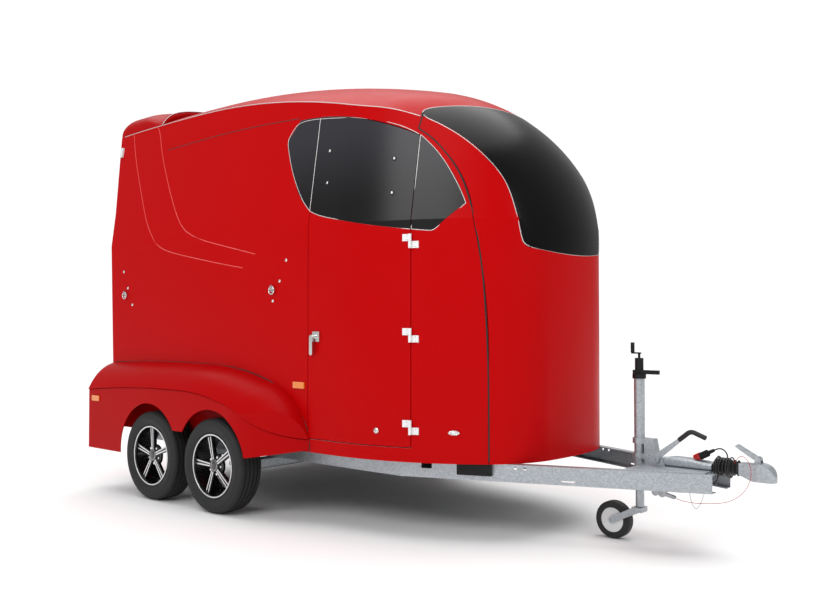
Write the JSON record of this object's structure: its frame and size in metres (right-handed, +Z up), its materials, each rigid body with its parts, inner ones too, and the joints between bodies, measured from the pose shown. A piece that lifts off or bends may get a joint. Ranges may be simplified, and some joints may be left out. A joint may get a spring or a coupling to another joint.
{
  "type": "horse trailer",
  "caption": "Twin-axle horse trailer with a streamlined closed body, ramp, rear flap, groom's door, overrun drawbar and jockey wheel.",
  "frame": {"origin": "on the ground under the middle of the overall length and width", "axes": "+X forward to the coupling, +Y to the trailer's left, +Z up"},
  "size_m": [4.8707, 2.304, 2.9588],
  "materials": {
    "red_shell": "gloss",
    "dark_pane": "gloss",
    "galvanised": "galvanised",
    "bright_fitting": "polished",
    "white_fitting": "satin",
    "alloy": "machined",
    "tyre_rubber": "matte",
    "black_rubber": "matte",
    "black_plastic": "matte",
    "amber_lens": "gloss",
    "red_lens": "gloss",
    "clear_lens": "gloss",
    "red_plastic": "gloss",
    "red_cable": "gloss",
    "white_cable": "gloss",
    "floor_mat": "matte"
  },
  "bodies": {
    "trailer": {"roof": "red_shell", "rear_cap": "red_shell", "nose_panel": "red_shell", "right_wall": "red_shell", "left_wall": "red_shell", "left_fender": "red_shell", "right_fender": "red_shell", "front_window": "dark_pane", "right_quarter_windows": "dark_pane", "left_window": "dark_pane", "wall_hinges": "white_fitting", "floor": "floor_mat", "rear_hinge_brackets": "galvanised", "side_markers": "amber_lens", "position_lamps": "clear_lens", "rear_lamps": "red_lens", "rope_rings": "bright_fitting", "left_rail": "galvanised", "right_rail": "galvanised", "cross_members": "galvanised", "front_plate": "galvanised", "axles": "galvanised", "overrun_housing": "galvanised", "bellows": "black_rubber", "coupling_head": "galvanised", "jockey_tube": "galvanised", "jockey_clamp": "galvanised", "jockey_crank": "black_plastic", "beam_steps": "black_plastic", "lead_coil": "black_rubber", "lead": "black_rubber", "lead_plug": "black_plastic", "plug_dock": "red_plastic", "breakaway_cable": "red_cable", "wire_hook": "white_cable", "brake_cams": "galvanised", "brake_rod": "galvanised"},
    "groom_door": {"groom_door": "red_shell", "door_window": "dark_pane", "door_handle": "bright_fitting", "door_hinges": "white_fitting"},
    "ramp": {"ramp": "red_shell"},
    "rear_flap": {"rear_flap": "red_shell"},
    "coupling_handle": {"coupling_handle": "galvanised"},
    "handbrake": {"handbrake_lever": "galvanised", "handbrake_grip": "black_rubber"},
    "jockey_leg": {"jockey_leg": "galvanised"},
    "jockey_fork": {"jockey_fork": "galvanised"},
    "jockey_wheel": {"jockey_tyre": "black_rubber", "jockey_rim": "white_fitting"},
    "front_right_wheel": {"front_right_tyre": "tyre_rubber", "front_right_rim": "alloy"},
    "front_left_wheel": {"front_left_tyre": "tyre_rubber", "front_left_rim": "alloy"},
    "rear_right_wheel": {"rear_right_tyre": "tyre_rubber", "rear_right_rim": "alloy"},
    "rear_left_wheel": {"rear_left_tyre": "tyre_rubber", "rear_left_rim": "alloy"}
  },
  "joints": [
    {"name": "front_right_wheel_spin", "type": "hinge", "parent": "trailer", "child": "front_right_wheel", "pos_m": [-0.785, -1.036, 0.308], "axis": [0, 1, 0], "continuous": true},
    {"name": "front_left_wheel_spin", "type": "hinge", "parent": "trailer", "child": "front_left_wheel", "pos_m": [-0.785, 1.036, 0.308], "axis": [0, 1, 0], "continuous": true},
    {"name": "rear_right_wheel_spin", "type": "hinge", "parent": "trailer", "child": "rear_right_wheel", "pos_m": [-1.485, -1.036, 0.308], "axis": [0, 1, 0], "continuous": true},
    {"name": "rear_left_wheel_spin", "type": "hinge", "parent": "trailer", "child": "rear_left_wheel", "pos_m": [-1.485, 1.036, 0.308], "axis": [0, 1, 0], "continuous": true},
    {"name": "groom_door_hinge", "type": "hinge", "parent": "trailer", "child": "groom_door", "pos_m": [0.67912, -0.84503, 1.17], "axis": [0, 0, 1], "range_deg": [0, 165]},
    {"name": "ramp_hinge", "type": "hinge", "parent": "trailer", "child": "ramp", "pos_m": [-2.29626, 0, 0.5], "axis": [0, -1, 0], "range_deg": [0, 108]},
    {"name": "rear_flap_hinge", "type": "hinge", "parent": "trailer", "child": "rear_flap", "pos_m": [-2.42369, 0, 2.61], "axis": [0, 1, 0], "range_deg": [0, 85]},
    {"name": "coupling_handle_pivot", "type": "hinge", "parent": "trailer", "child": "coupling_handle", "pos_m": [2.343, 0, 0.533], "axis": [0, 1, 0], "range_deg": [0, 50]},
    {"name": "handbrake_pivot", "type": "hinge", "parent": "trailer", "child": "handbrake", "pos_m": [1.795, -0.065, 0.49], "axis": [0, -1, 0], "range_deg": [0, 55]},
    {"name": "jockey_leg_slide", "type": "slide", "parent": "trailer", "child": "jockey_leg", "axis": [0, 0, 1], "range_m": [-0.1, 0.045]},
    {"name": "jockey_swivel", "type": "hinge", "parent": "jockey_leg", "child": "jockey_fork", "pos_m": [1.675, 0, 0.198], "axis": [0, 0, 1], "continuous": true},
    {"name": "jockey_wheel_spin", "type": "hinge", "parent": "jockey_fork", "child": "jockey_wheel", "pos_m": [1.515, 0, 0.107], "axis": [0, 1, 0], "continuous": true}
  ]
}
